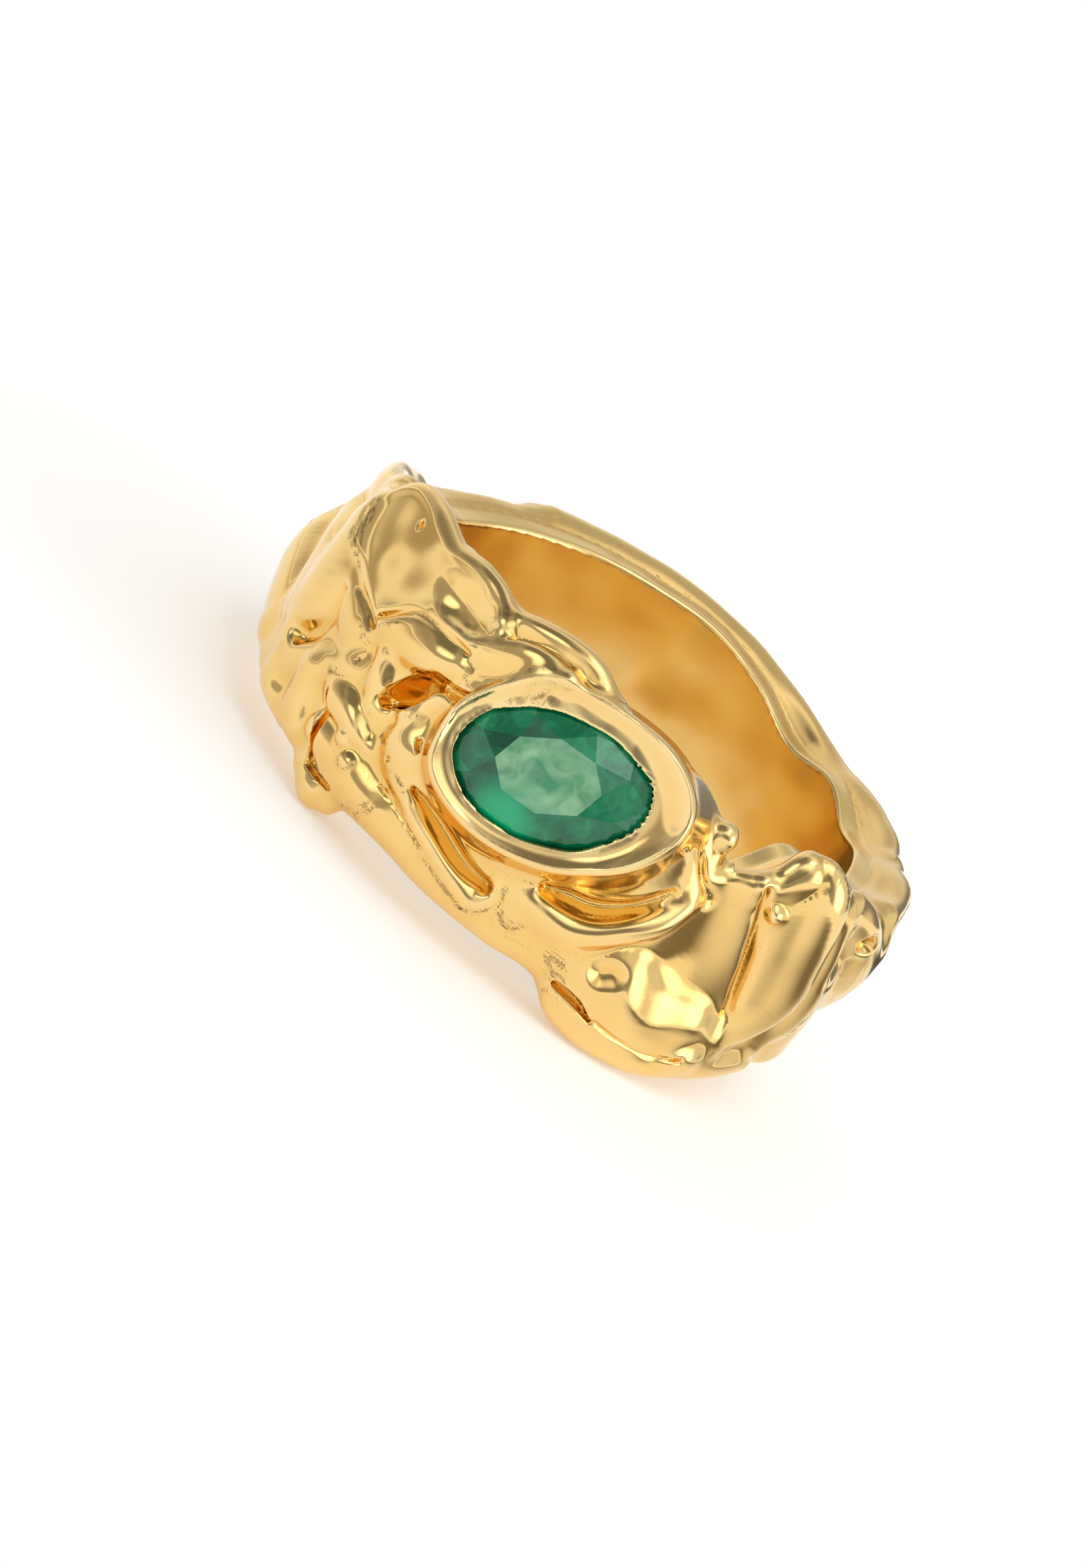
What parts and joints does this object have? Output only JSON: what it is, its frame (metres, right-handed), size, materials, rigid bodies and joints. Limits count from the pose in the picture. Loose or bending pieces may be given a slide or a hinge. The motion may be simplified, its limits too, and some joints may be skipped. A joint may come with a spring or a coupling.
{
  "type": "cocktail ring",
  "caption": "Wide molten-look gold cocktail ring with an oval emerald in an eye-shaped bezel; slides onto a finger.",
  "frame": {"origin": "middle of the finger bore", "axes": "+Z along the bore, towards the rim that the stone leans to; -Y towards the stone; +X to the right of a viewer who faces the stone"},
  "size_m": [0.0232, 0.0236, 0.0099],
  "materials": {
    "molten_gold": "polished",
    "lining_gold": "polished",
    "bezel_gold": "mirror polished",
    "emerald": "faceted, polished"
  },
  "bodies": {
    "root": {"back_left_fold": "molten_gold", "back_middle_fold": "molten_gold", "back_right_fold": "molten_gold", "belly_fold": "molten_gold", "bezel_seat": "bezel_gold", "bezel_wall": "bezel_gold", "emerald": "emerald", "finger_sleeve": "lining_gold", "hood_fold": "molten_gold", "leaf_sheet": "molten_gold", "left_drip": "molten_gold", "left_rear_fold": "molten_gold", "left_shoulder_fold": "molten_gold", "lower_lip": "molten_gold", "molten_band": "molten_gold", "pillow_fold": "molten_gold", "rear_lumps": "molten_gold", "rear_rim_roll": "molten_gold", "right_rear_fold": "molten_gold", "rim_granule": "molten_gold", "rolled_fold": "molten_gold", "small_granules": "molten_gold", "tongue_fold": "molten_gold", "twisted_ribbon": "molten_gold", "under_ribbon": "molten_gold"}
  },
  "joints": []
}
